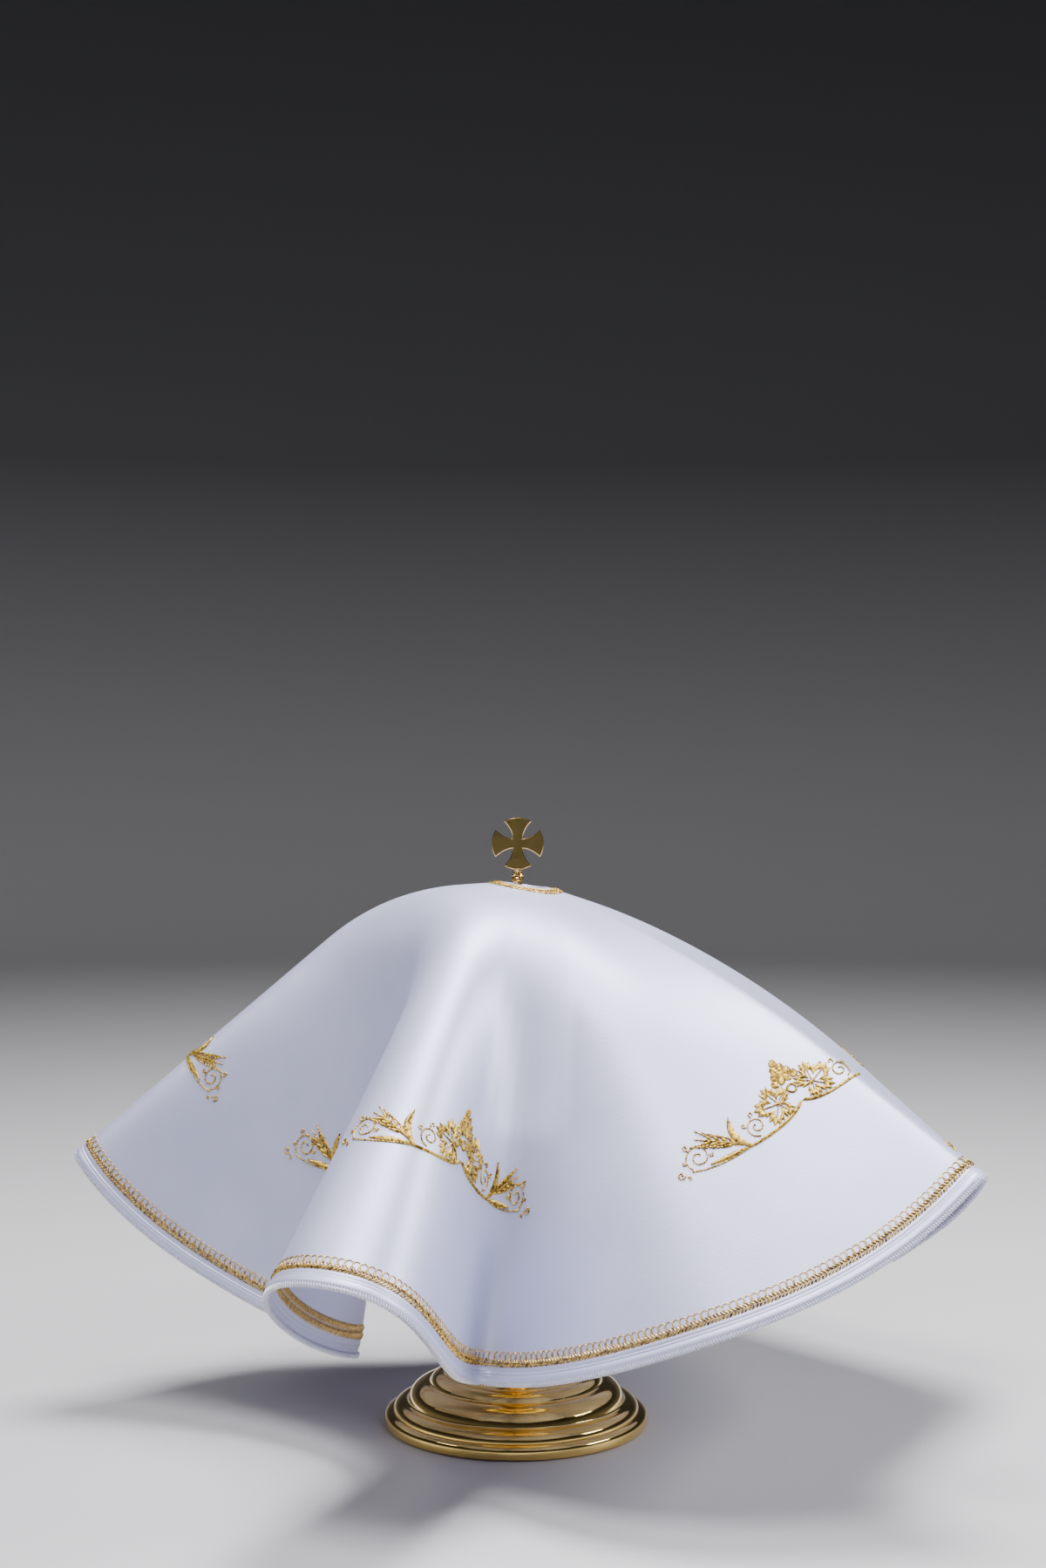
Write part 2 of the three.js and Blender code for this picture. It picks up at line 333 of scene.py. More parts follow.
bm = bmesh.new()
face = bm.faces.new([
    bm.verts.new((LID_SHIFT + a, -CROSS_THICKNESS / 2, CROSS_MIDDLE + b))
    for a, b in cross_outline()
])
extruded = bmesh.ops.extrude_face_region(bm, geom=[face])
back = [v for v in extruded["geom"] if isinstance(v, bmesh.types.BMVert)]
bmesh.ops.translate(bm, verts=back, vec=(0, CROSS_THICKNESS, 0))
bmesh.ops.recalc_face_normals(bm, faces=bm.faces)
rim = [e for e in bm.edges if abs(e.verts[0].co.y - e.verts[1].co.y) < SAME_PLACE]
bmesh.ops.bevel(
    bm,
    geom=rim,
    offset=CROSS_BEVEL,
    offset_type="OFFSET",
    affect="EDGES",
    segments=2,
    profile=0.5,
    material=-1,
)
cross_mesh = bpy.data.meshes.new("cross")
bm.to_mesh(cross_mesh)
bm.free()
cross_mesh.shade_smooth()
cross_mesh.set_sharp_from_angle(angle=CROSS_SHARP)
# The faces' dark gold is a painted reflection of a dark room; the bevelled edges keep the bright gold.
cross_face_painted_dark = gold_plate("gold_plate_cross_painted_reflection", (0.3, 0.22, 0.07), 0.3)
add_piece("cross", cross_mesh, cross_face_painted_dark, "cross")
cross_mesh.materials.append(bright_gold)
for polygon in cross_mesh.polygons:
    polygon.material_index = 0 if abs(polygon.normal.y) > FACING else 1

# Veil
# One round of white satin, 472 mm across with a hole for the finial, draped over the lid.
# It falls in wide open folds, and its edge is turned, pressed and overlocked.
VEIL_RADIUS = 0.236
HOLE_RADIUS = 0.009
CLOTH_THICKNESS = 0.0012
HOLE_CENTRE = np.array([0.0045, 0, 0.2267])
HEM_START = math.radians(-5.7)
HEM_SAMPLES = 1440
SETTLE_ROUNDS = 25
LEAST_FALL = 0.01
# The eased crease: its angle, how far to each side it is eased, by how much, how steeply that
# falls off sideways, and the length of cloth above the hem over which it begins
CREASE_ANGLE = math.radians(-85)
CREASE_REACH = math.radians(28)
CREASE_EASE = math.radians(11)
CREASE_FALLOFF = 1.6
CREASE_FADE = 0.09
EASE_STEPS = 3
# Steps along and round the cloth that give its slope
REACH_STEP = 0.0005
ANGLE_STEP = 0.01
# Where the cloth leaves the lid, one row for each 45 degrees of the cloth from +X
SHOULDER = [
    dict(slope=0.31, reach=0.127, soft=0.098),
    dict(slope=0.37, reach=0.075, soft=0.054),
    dict(slope=0.27, reach=0.062, soft=0.026),
    dict(slope=0.15, reach=0.065, soft=0.03),
    dict(slope=0.04, reach=0.06, soft=0.034),
    dict(slope=0.09, reach=0.052, soft=0.024),
    dict(slope=0.24, reach=0.06, soft=0.027),
    dict(slope=0.39, reach=0.07, soft=0.05),
]
# The hem seen from above, as control points of a smooth closed curve
HEM = [
    dict(x=0.144, y=-0.059),
    dict(x=0.191, y=-0.001),
    dict(x=0.201, y=0.047),
    dict(x=0.16, y=0.095),
    dict(x=0.114, y=0.149),
    dict(x=0.085, y=0.2),
    dict(x=0.065, y=0.218),
    dict(x=0.043, y=0.186),
    dict(x=0.016, y=0.132),
    dict(x=-0.02, y=0.095),
    dict(x=-0.068, y=0.096),
    dict(x=-0.115, y=0.092),
    dict(x=-0.148, y=0.054),
    dict(x=-0.195, y=0.026),
    dict(x=-0.186, y=0.009),
    dict(x=-0.124, y=-0.006),
    dict(x=-0.069, y=-0.046),
    dict(x=-0.055, y=-0.084),
    dict(x=-0.081, y=-0.124),
    dict(x=-0.094, y=-0.159),
    dict(x=-0.064, y=-0.18),
    dict(x=-0.032, y=-0.179),
    dict(x=-0.022, y=-0.134),
    dict(x=-0.015, y=-0.092),
    dict(x=0.003, y=-0.12),
    dict(x=0.059, y=-0.161),
    dict(x=0.145, y=-0.143),
    dict(x=0.183, y=-0.131),
    dict(x=0.141, y=-0.113),
]


def spline(rows, column, u):
    """One column of a closed table as a uniform cubic B-spline."""
    values = np.array([row[column] for row in rows])
    first = np.floor(u).astype(int)
    f = u - first

    def value(step):
        return values[(first + step) % len(values)]

    before = (1 - f) ** 3 * value(-1)
    here = (3 * f ** 3 - 6 * f ** 2 + 4) * value(0)
    after = (1 + 3 * f + 3 * f ** 2 - 3 * f ** 3) * value(1)
    last = f ** 3 * value(2)
    return (before + here + after + last) / 6


def shoulder_at(angle):
    """The bend of the cloth at an angle: its reach, its softness and its point."""
    u = angle / math.tau * len(SHOULDER)
    reach = spline(SHOULDER, "reach", u)
    tilt = np.arctan(spline(SHOULDER, "slope", u))
    out = reach * np.cos(tilt)
    arm = np.stack([out * np.cos(angle), out * np.sin(angle), -reach * np.sin(tilt)], axis=-1)
    return reach, spline(SHOULDER, "soft", u), HOLE_CENTRE + arm


def hang_hem():
    """The hanging hem: each thread keeps its length, and the angle follows the hem's length."""
    share = np.linspace(0, 1, HEM_SAMPLES + 1)
    plan = np.stack([spline(HEM, axis, share * len(HEM)) for axis in "xy"], axis=-1)
    angle = HEM_START + share * math.tau
    for _ in range(SETTLE_ROUNDS):
        reach, soft, bend = shoulder_at(angle)
        out = np.linalg.norm(plan - bend[:, :2], axis=-1)
        fall = np.sqrt(np.maximum((VEIL_RADIUS - reach) ** 2 - out ** 2, LEAST_FALL ** 2))
        points = np.concatenate([plan, bend[:, 2:] - fall[:, None]], axis=-1)
        steps = np.linalg.norm(np.diff(points, axis=0), axis=-1)
        length = np.concatenate([[0], np.cumsum(steps)])
        angle = HEM_START + length / length[-1] * math.tau
    return angle, points


hem_angle, hem_points = hang_hem()


def unit(vectors):
    """The same vectors at length one."""
    return vectors / np.linalg.norm(vectors, axis=-1, keepdims=True)


def cloth_point(reach, angle):
    """The cloth's upper face at a length from its centre and an angle, both in the flat cloth."""
    bend_reach, soft, bend = shoulder_at(angle)
    past = reach - bend_reach
    fallen = np.where(past < -soft, 0, np.where(past > soft, past, (past + soft) ** 2 / (4 * soft)))
    wrapped = hem_angle[0] + np.mod(angle - hem_angle[0], math.tau)
    hem = np.stack([np.interp(wrapped, hem_angle, hem_points[:, i]) for i in range(3)], axis=-1)
    along = unit(bend - HOLE_CENTRE)
    down = unit(hem - bend)
    return HOLE_CENTRE + along * (reach - fallen)[..., None] + down * fallen[..., None]


def eased_point(reach, angle):
    """The same face with the crease beside the second valley eased, but not at the hem."""
    off = np.abs(np.mod(angle - CREASE_ANGLE + math.pi, math.tau) - math.pi)
    near = np.clip(CREASE_FALLOFF * (1 - off / CREASE_REACH), 0, 1)
    width = CREASE_EASE * near * np.clip((VEIL_RADIUS - reach) / CREASE_FADE, 0, 1)
    points = [
        cloth_point(reach, angle + step * width / EASE_STEPS)
        for step in range(-EASE_STEPS, EASE_STEPS + 1)
    ]
    return sum(points) / len(points)


def cloth(reach, angle, lift=0.0):
    """Points of the cloth, raised off its upper face by lift."""
    reach, angle = np.broadcast_arrays(np.asarray(reach, float), np.asarray(angle, float))
    along = eased_point(reach + REACH_STEP, angle) - eased_point(reach - REACH_STEP, angle)
    round_ = eased_point(reach, angle + ANGLE_STEP) - eased_point(reach, angle - ANGLE_STEP)
    up = unit(np.cross(along, round_))
    return eased_point(reach, angle) + up * np.broadcast_to(lift, reach.shape)[..., None]


ROUND_STEPS = 400
INNER_STEPS = 8
MIDDLE_STEPS = 60
EDGE_STEPS = 26
COLLAR_EDGE = 0.016
HEM_ZONE = 0.0078
EDGE_BAND = dict(middle=0.0024, half=0.0014, height=0.00045)
EDGE_RIDGE = dict(middle=0.0043, half=0.00028, height=0.0004)
EDGE_GROOVE = dict(middle=0.0049, half=0.0003, height=-0.0002)
EDGE_STRIP = dict(outer=0.0008, inner=0.0068, slope=0.0004, height=0.0002)


def edge_relief(reach):
    """Height of the pressed edge: a rounded band, a ridge beside a groove, and a flat strip."""
    inward = VEIL_RADIUS - reach
    offset = (inward - EDGE_BAND["middle"]) / EDGE_BAND["half"]
    height = EDGE_BAND["height"] * np.sqrt(np.clip(1 - offset ** 2, 0, 1))
    for row in (EDGE_RIDGE, EDGE_GROOVE):
        height = height + row["height"] * np.exp(-((inward - row["middle"]) / row["half"]) ** 2)
    rise = np.clip((EDGE_STRIP["inner"] - inward) / EDGE_STRIP["slope"], 0, 1)
    fall = np.clip((inward - EDGE_STRIP["outer"]) / EDGE_STRIP["slope"], 0, 1)
    return height + EDGE_STRIP["height"] * rise * fall


rings = np.concatenate([
    np.linspace(HOLE_RADIUS, COLLAR_EDGE, INNER_STEPS, endpoint=False),
    np.linspace(COLLAR_EDGE, VEIL_RADIUS - HEM_ZONE, MIDDLE_STEPS, endpoint=False),
    np.linspace(VEIL_RADIUS - HEM_ZONE, VEIL_RADIUS, EDGE_STEPS + 1),
])
bm = bmesh.new()
flat_cut = bm.loops.layers.uv.new("flat_cut")
bmesh.ops.create_grid(bm, x_segments=ROUND_STEPS, y_segments=len(rings) - 1, size=1, calc_uvs=False)
grid = np.array([vert.co[:2] for vert in bm.verts])
angle_of = (grid[:, 0] + 1) / 2 * math.tau
reach_of = rings[np.rint((grid[:, 1] + 1) / 2 * (len(rings) - 1)).astype(int)]
flat = np.stack([reach_of * np.cos(angle_of), reach_of * np.sin(angle_of)], axis=-1)
# the flat cut, in metres, so that the weave keeps its size everywhere
for panel in bm.faces:
    for loop in panel.loops:
        loop[flat_cut].uv = flat[loop.vert.index]
for vert, point in zip(bm.verts, cloth(reach_of, angle_of, edge_relief(reach_of))):
    vert.co = point
bmesh.ops.remove_doubles(bm, verts=bm.verts, dist=SAME_PLACE)
bmesh.ops.reverse_faces(bm, faces=bm.faces)
veil_mesh = bpy.data.meshes.new("veil")
bm.to_mesh(veil_mesh)
bm.free()
veil_mesh.shade_smooth()


def satin(name):
    """White satin: a soft broad shine, a fine grain across the weave and faint cloudiness."""
    material, nodes, links, shader = new_material(name)
    shader.inputs["Metallic"].default_value = 0.4
    shader.inputs["Specular IOR Level"].default_value = 1
    shader.inputs["Specular Tint"].default_value = (0.9, 0.92, 1, 1)
    flat_cut = nodes.new("ShaderNodeUVMap")
    flat_cut.uv_map = "flat_cut"

    cloud = nodes.new("ShaderNodeTexNoise")
    cloud.inputs["Scale"].default_value = 28
    cloud.inputs["Detail"].default_value = 4
    links.new(flat_cut.outputs["UV"], cloud.inputs["Vector"])
    tint = nodes.new("ShaderNodeValToRGB")
    tint.color_ramp.elements[0].position = 0.35
    tint.color_ramp.elements[0].color = (0.55, 0.57, 0.79, 1)
    tint.color_ramp.elements[1].position = 0.65
    tint.color_ramp.elements[1].color = (0.6, 0.615, 0.84, 1)
    links.new(cloud.outputs["Fac"], tint.inputs["Fac"])
    links.new(tint.outputs["Color"], shader.inputs["Base Color"])

    stretch = nodes.new("ShaderNodeMapping")
    stretch.inputs["Scale"].default_value = (900, 3200, 1)
    links.new(flat_cut.outputs["UV"], stretch.inputs["Vector"])
    weave = nodes.new("ShaderNodeTexNoise")
    weave.inputs["Scale"].default_value = 1
    weave.inputs["Detail"].default_value = 2
    links.new(stretch.outputs["Vector"], weave.inputs["Vector"])
    grain = nodes.new("ShaderNodeTexNoise")
    grain.inputs["Scale"].default_value = 1100
    grain.inputs["Detail"].default_value = 3
    links.new(flat_cut.outputs["UV"], grain.inputs["Vector"])
    both = nodes.new("ShaderNodeMath")
    both.operation = "ADD"
    links.new(weave.outputs["Fac"], both.inputs[0])
    links.new(grain.outputs["Fac"], both.inputs[1])
    bump = nodes.new("ShaderNodeBump")
    bump.inputs["Strength"].default_value = 0.22
    bump.inputs["Distance"].default_value = 0.00012
    links.new(both.outputs["Value"], bump.inputs["Height"])
    links.new(bump.outputs["Normal"], shader.inputs["Normal"])

    shine = nodes.new("ShaderNodeMapRange")
    shine.inputs["To Min"].default_value = 0.42
    shine.inputs["To Max"].default_value = 0.54
    links.new(grain.outputs["Fac"], shine.inputs["Value"])
    links.new(shine.outputs["Result"], shader.inputs["Roughness"])
    return material


white_satin = satin("white_satin")
veil = add_piece("veil", veil_mesh, white_satin, "veil")
solidify = veil.modifiers.new("thickness", "SOLIDIFY")
solidify.thickness = CLOTH_THICKNESS
solidify.offset = -1
solidify.use_rim = True

# Overlock of the edge
# White polyester thread sewn round the cut edge by machine, over both faces, so the
# edge looks finely toothed.
OVERLOCK_PITCH = 0.0011
OVERLOCK_THREAD = 0.00044
OVERLOCK_PATH = [
    dict(inward=0.0015, lift=0.0001, along=0.0),
    dict(inward=0.0007, lift=0.0004, along=0.0002),
    dict(inward=-0.0003, lift=0.0001, along=0.0004),
    dict(inward=-0.0003, lift=-0.0011, along=0.0006),
    dict(inward=0.0013, lift=-0.0014, along=0.0008),
]
THREAD_END = 0.6


def thread_mesh(name, runs, thickness):
    """Round threads, one along each run of points, that thin out where they enter the cloth."""
    curve = bpy.data.curves.new(name, "CURVE")
    curve.dimensions = "3D"
    curve.bevel_depth = thickness / 2
    curve.bevel_resolution = 0
    curve.use_fill_caps = True
    for run in runs:
        thread = curve.splines.new("POLY")
        thread.points.add(len(run) - 1)
        thread.points.foreach_set("co", np.column_stack([run, np.ones(len(run))]).ravel())
        thickness_along = np.ones(len(run))
        thickness_along[[0, -1]] = THREAD_END
        thread.points.foreach_set("radius", thickness_along)
    holder = bpy.data.objects.new(name, curve)
    mesh = bpy.data.meshes.new_from_object(holder)
    bpy.data.objects.remove(holder)
    bpy.data.curves.remove(curve)
    mesh.shade_smooth()
    return mesh


def column(rows, key):
    """One column of a table as an array."""
    return np.array([row[key] for row in rows])


def stitches_round(reach, pitch, path):
    """The same short stitch repeated round the cloth at one reach from its centre."""
    count = round(math.tau * reach / pitch)
    start = np.arange(count)[:, None] / count * math.tau
    angles = start + column(path, "along") / reach
    reaches = np.broadcast_to(reach - column(path, "inward"), angles.shape)
    lifts = np.broadcast_to(column(path, "lift"), angles.shape)
    return list(cloth(reaches, angles, lifts))


def white_thread(name):
    """White polyester thread with a little shine, and darker patches by noise as painted shade for the
    gaps between the stitches.
    """
    material, nodes, links, shader = new_material(name)
    shader.inputs["Roughness"].default_value = 0.5
    shader.inputs["Sheen Weight"].default_value = 0.2
    place = nodes.new("ShaderNodeTexCoord")
    fibre = nodes.new("ShaderNodeTexNoise")
    fibre.inputs["Scale"].default_value = 1500
    links.new(place.outputs["Object"], fibre.inputs["Vector"])
    # The darker end of this ramp is painted shade for the gaps between stitches.
    tint = nodes.new("ShaderNodeValToRGB")
    tint.color_ramp.elements[0].position = 0.35
    tint.color_ramp.elements[0].color = (0.66, 0.66, 0.72, 1)
    tint.color_ramp.elements[1].position = 0.6
    tint.color_ramp.elements[1].color = (0.86, 0.86, 0.9, 1)
    links.new(fibre.outputs["Fac"], tint.inputs["Fac"])
    links.new(tint.outputs["Color"], shader.inputs["Base Color"])
    return material


overlock_runs = stitches_round(VEIL_RADIUS, OVERLOCK_PITCH, OVERLOCK_PATH)
overlock_mesh = thread_mesh("overlock", overlock_runs, OVERLOCK_THREAD)
overlock = add_piece("overlock", overlock_mesh, white_thread("white_thread"))

# Gold edging
# Three machine-sewn rows of gold viscose thread inside the white edge: a running
# stitch, a braid of slanted chain stitches, and a row of fine loops.
RUNNING_INWARD = 0.0067
BRAID_INWARD = 0.0081
LOOPS_INWARD = 0.0094
RUNNING_PITCH = 0.0026
RUNNING_THREAD = 0.0004
RUNNING_PATH = [
    dict(inward=0.0, lift=-0.00005, along=0.0),
    dict(inward=0.0, lift=0.00018, along=0.00095),
    dict(inward=0.0, lift=-0.00005, along=0.0019),
]
BRAID_PITCH = 0.0014
BRAID_THREAD = 0.0008
BRAID_OUTER = [
    dict(inward=-0.0014, lift=0.0, along=0.0),
    dict(inward=-0.0006, lift=0.0005, along=0.0008),
    dict(inward=0.0001, lift=0.0001, along=0.0016),
]
BRAID_INNER = [
    dict(inward=0.0014, lift=0.0, along=0.0),
    dict(inward=0.0006, lift=0.0005, along=0.0008),
    dict(inward=-0.0001, lift=0.0001, along=0.0016),
]
LOOP_PITCH = 0.0027
LOOP_HEIGHT = 0.0027
LOOP_SWELL = 0.0009
LOOP_STEPS = 10
LOOP_THREAD = 0.00042
LOOP_LIFT = 0.00012
LOOP_CROSSING = 0.00006


def loops_round(reach, pitch, height, swell):
    """One thread that runs round the cloth in upright loops towards its centre."""
    count = round(math.tau * reach / pitch)
    share = np.arange(count * LOOP_STEPS + 1) / LOOP_STEPS
    wave = share * math.tau
    angles = share / count * math.tau - swell * np.sin(wave) / reach
    reaches = reach - height * (1 - np.cos(wave)) / 2
    return [cloth(reaches, angles, LOOP_LIFT + LOOP_CROSSING * np.sin(wave))]


def gold_thread(name, light, dark):
    """Shiny gold embroidery thread with a fine twist: noise mixes its gold with a darker tone, a painted
    shade for the gaps between stitches.
    """
    material, nodes, links, shader = new_material(name)
    shader.inputs["Metallic"].default_value = 0.8
    shader.inputs["Specular IOR Level"].default_value = 0.6
    place = nodes.new("ShaderNodeTexCoord")
    shade = nodes.new("ShaderNodeTexNoise")
    shade.inputs["Scale"].default_value = 900
    shade.inputs["Detail"].default_value = 3
    links.new(place.outputs["Object"], shade.inputs["Vector"])
    # The dark end of this ramp is painted shade, scattered by noise, that stands for the gaps between
    # stitches.
    tint = nodes.new("ShaderNodeValToRGB")
    tint.color_ramp.elements[0].position = 0.4
    tint.color_ramp.elements[0].color = (*dark, 1)
    tint.color_ramp.elements[1].position = 0.54
    tint.color_ramp.elements[1].color = (*light, 1)
    links.new(shade.outputs["Fac"], tint.inputs["Fac"])
    links.new(tint.outputs["Color"], shader.inputs["Base Color"])
    gloss = nodes.new("ShaderNodeMapRange")
    gloss.inputs["To Min"].default_value = 0.3
    gloss.inputs["To Max"].default_value = 0.46
    links.new(shade.outputs["Fac"], gloss.inputs["Value"])
    links.new(gloss.outputs["Result"], shader.inputs["Roughness"])
    twist = nodes.new("ShaderNodeTexNoise")
    twist.inputs["Scale"].default_value = 5200
    links.new(place.outputs["Object"], twist.inputs["Vector"])
    bump = nodes.new("ShaderNodeBump")
    bump.inputs["Strength"].default_value = 0.35
    bump.inputs["Distance"].default_value = 0.00008
    links.new(twist.outputs["Fac"], bump.inputs["Height"])
    links.new(bump.outputs["Normal"], shader.inputs["Normal"])
    return material


# The second colour of each gold thread is the painted shade of the gaps between its stitches.
edge_gold = gold_thread("gold_thread_edge", (0.8, 0.53, 0.13), (0.13, 0.065, 0.01))
pale_gold = gold_thread("gold_thread_pale", (0.8, 0.55, 0.2), (0.42, 0.26, 0.08))
running_runs = stitches_round(VEIL_RADIUS - RUNNING_INWARD, RUNNING_PITCH, RUNNING_PATH)
running_mesh = thread_mesh("running_stitch", running_runs, RUNNING_THREAD)
running = add_piece("running_stitch", running_mesh, edge_gold)
braid_runs = stitches_round(VEIL_RADIUS - BRAID_INWARD, BRAID_PITCH, BRAID_OUTER)
braid_runs += stitches_round(VEIL_RADIUS - BRAID_INWARD, BRAID_PITCH, BRAID_INNER)
braid_mesh = thread_mesh("edge_braid", braid_runs, BRAID_THREAD)
braid = add_piece("edge_braid", braid_mesh, edge_gold)
loop_runs = loops_round(VEIL_RADIUS - LOOPS_INWARD, LOOP_PITCH, LOOP_HEIGHT, LOOP_SWELL)
loop_mesh = thread_mesh("edge_loops", loop_runs, LOOP_THREAD)
edge_loops = add_piece("edge_loops", loop_mesh, pale_gold)

# Back of the edging
# The same rows seen from under the cloth: slanted bobbin stitches side by side in a band.
BACK_ROWS = 2
BACK_FIRST = 0.0082
BACK_SPACING = 0.0028
BACK_PITCH = 0.001
BACK_PATH = [
    dict(inward=-0.0014, lift=-0.0011, along=0.0),
    dict(inward=0.0, lift=-0.0015, along=0.0005),
    dict(inward=0.0014, lift=-0.0011, along=0.001),
]
back_runs = []
for row in range(BACK_ROWS):
    back_reach = VEIL_RADIUS - BACK_FIRST - row * BACK_SPACING
    back_runs += stitches_round(back_reach, BACK_PITCH, BACK_PATH)
# Its second colour is painted shade for the gaps between the stitches.
bronze = gold_thread("bronze_thread", (0.62, 0.42, 0.17), (0.36, 0.22, 0.08))
back_mesh = thread_mesh("edging_back", back_runs, BRAID_THREAD)
edging_back = add_piece("edging_back", back_mesh, bronze)

# Collar of the hole
# A gold ring of the same braid and loops, sewn round the hole a little out from its rim.
COLLAR_BRAID = 0.0133
COLLAR_LOOPS = 0.0146
COLLAR_LOOP_HEIGHT = -0.0012
collar_runs = stitches_round(COLLAR_BRAID, BRAID_PITCH, BRAID_OUTER)
collar_runs += stitches_round(COLLAR_BRAID, BRAID_PITCH, BRAID_INNER)
collar_runs += loops_round(COLLAR_LOOPS, LOOP_PITCH, COLLAR_LOOP_HEIGHT, LOOP_SWELL)
collar_mesh = thread_mesh("collar_stitching", collar_runs, BRAID_THREAD)
collar = add_piece("collar_stitching", collar_mesh, edge_gold)

# Embroidered motifs
# Six sprays in gold thread, machine embroidered round the cloth: a bunch of grapes and two
# vine leaves in the middle, and on each side a stem with a wheat ear, blades and scrolls.
# Four lie as near as the drape allows to where the photograph shows them, so the spacing is
# uneven. The right and the back ones fill the rest of the round.
# The tables give one side in millimetres: along from the middle, and inward to the centre.
AXES = [
    # where the middle of each spray lies, in degrees of the cloth from +X
    dict(name="front", axis=-98.7),
    dict(name="front_right", axis=-38.4),
    dict(name="right", axis=37),
    dict(name="back", axis=93),
    dict(name="left", axis=-198),
    dict(name="valley", axis=-146),
]
MOTIF_REACH = 0.166
MOTIF_THREAD = 0.00066
SCROLL_THREAD = 0.0008
# The lift of a stitch off the cloth at its start, its middle and its end
MOTIF_LIFT = (0, 0.0005, 0)
SCROLL_LIFT = (0.00004, 0.0002, 0.00004)
MM = 0.001
GRAPE_ROWS = 4
GRAPE_TIP = 20.4
GRAPE_ROW_SPACING = 2.7
GRAPE_SPACING = 3.1
GRAPE_RADIUS = 1.7
GRAPE_THREADS = 8
GRAPE_SPAN = 0.86
GRAPE_LEAN = 35
RING_INWARD = 7.4
RING_RADIUS = 1.75
RING_WIDTH = 0.8
LEAF = dict(along=8.6, inward=5.0, radius=8.7, heading=14, edge=2.3)
LEAF_STITCHES = 144
TOOTH_STITCHES = 6
TOOTH = 1.9
STITCH_TILT = 0.3
VEIN_START = 0.3
VEIN_END = 0.85
LOBE_CUT = 0.5
LOBE_HALF = 36
LOBES = [
    dict(turn=0, reach=1.0),
    dict(turn=62, reach=0.88),
    dict(turn=-62, reach=0.88),
    dict(turn=128, reach=0.72),
    dict(turn=-128, reach=0.72),
]
STEM = [
    dict(along=1.2, inward=0.6),
    dict(along=5.0, inward=-2.9),
    dict(along=16.0, inward=-4.1),
    dict(along=27.0, inward=-3.2),
]
BASELINE = [
    dict(along=27.0, inward=-3.2),
    dict(along=36.0, inward=-3.6),
    dict(along=45.0, inward=-2.4),
    dict(along=51.5, inward=1.4),
]
STEM_WIDTHS = (1.3, 1.1)
BLADE_BLUNTNESS = 0.12
BLADE_FULLNESS = 0.8
BLADES = [
    # upright blade, and low blade
    dict(
        along=27.0, inward=-2.8, bend_along=33.0, bend_inward=4.6,
        end_along=28.4, end_inward=11.4, width=2.9,
    ),
    dict(
        along=27.5, inward=-3.0, bend_along=36.5, bend_inward=-2.0,
        end_along=44.0, end_inward=-0.4, width=2.2,
    ),
]
EAR = dict(along=28.0, inward=-2.2, end_along=39.5, end_inward=7.8)
STALK_WIDTH = 0.5
GRAINS = 12
GRAIN_LENGTH = 3.0
GRAIN_WIDTH = 1.3
GRAIN_BLUNTNESS = 0.3
GRAIN_SPREAD = 26
BARE_STALK = 0.3
AWN_SPREAD = 20
LOWEST_AWN = 0.4
AWN_LENGTH = 4.8
SCROLLS = [
    # between the leaf and the upright blade
    dict(along=21.0, inward=2.4, radius=4.3, start=-80, turns=1.5),
    dict(along=20.2, inward=7.6, radius=1.2, start=-60, turns=1.1),
    dict(along=25.2, inward=5.4, radius=1.1, start=-120, turns=1.0),
    dict(along=16.6, inward=4.8, radius=1.1, start=60, turns=1.0),
    # the large scroll by the tail, and the curls on it
    dict(along=46.4, inward=4.8, radius=5.3, start=-35, turns=1.6),
    dict(along=48.6, inward=10.8, radius=1.3, start=-100, turns=1.1),
    dict(along=42.0, inward=3.0, radius=1.1, start=150, turns=1.0),
    dict(along=52.4, inward=5.8, radius=1.0, start=200, turns=0.9),
    # the last curls of the tail
    dict(along=55.6, inward=2.6, radius=1.7, start=-150, turns=1.2),
    dict(along=53.6, inward=-0.4, radius=0.9, start=60, turns=1.0),
]
SCROLL_POINTS = 60
SCROLL_TIGHTENING = 0.82


def smooth_path(rows, steps=30):
    """A quadratic or cubic curve by its rows of along and inward."""
    points = np.array([[[row["along"], row["inward"]]] for row in rows])
    share = np.linspace(0, 1, steps + 1)[:, None]
    while len(points) > 1:
        points = points[:-1] * (1 - share) + points[1:] * share
    return points[0]


def heading_at(turn):
    """A unit vector at an angle in radians."""
    return np.array([math.cos(turn), math.sin(turn)])


def square_to(vector):
    """The same vector a quarter turn further."""
    return np.array([-vector[1], vector[0]])


def across(path):
    """Unit vectors along a path, and square to it."""
    along = unit(np.gradient(path, axis=0))
    return along, np.stack([-along[:, 1], along[:, 0]], axis=-1)


def resampled(path, step):
    """The path with its points one step apart."""
    length = np.concatenate([[0], np.cumsum(np.linalg.norm(np.diff(path, axis=0), axis=-1))])
    count = max(3, round(length[-1] / step) + 1)
    even = np.linspace(0, length[-1], count)
    return np.stack([np.interp(even, length, path[:, i]) for i in range(2)], axis=-1)


def running_stitches(path, length=1.25):
    """Short stitches end to end along a path."""
    points = resampled(path, length / 2)
    return [points[i:i + 3] for i in range(0, len(points) - 2, 2)]


def satin_band(path, widths, slant=0.6, pitch=0.34):
    """Threads laid side by side across a path, slanted, as wide as widths says."""
    points = resampled(path, pitch)
    along, square = across(points)
    half = np.interp(np.linspace(0, 1, len(points)), np.linspace(0, 1, len(widths)), widths) / 2
    reach_out = square * half[:, None]
    lean = along * half[:, None] * slant
    return list(np.stack([points - reach_out - lean, points, points + reach_out + lean], axis=1))


def blade_stitches(row):
    """A leaf blade of satin stitches, widest in its middle and pointed at its tip."""
    path = smooth_path([
        row,
        dict(along=row["bend_along"], inward=row["bend_inward"]),
        dict(along=row["end_along"], inward=row["end_inward"]),
    ])
    swell = np.sin(np.linspace(BLADE_BLUNTNESS, math.pi, 24)) ** BLADE_FULLNESS
    widths = row["width"] * swell
    return satin_band(path, widths, slant=0.9)


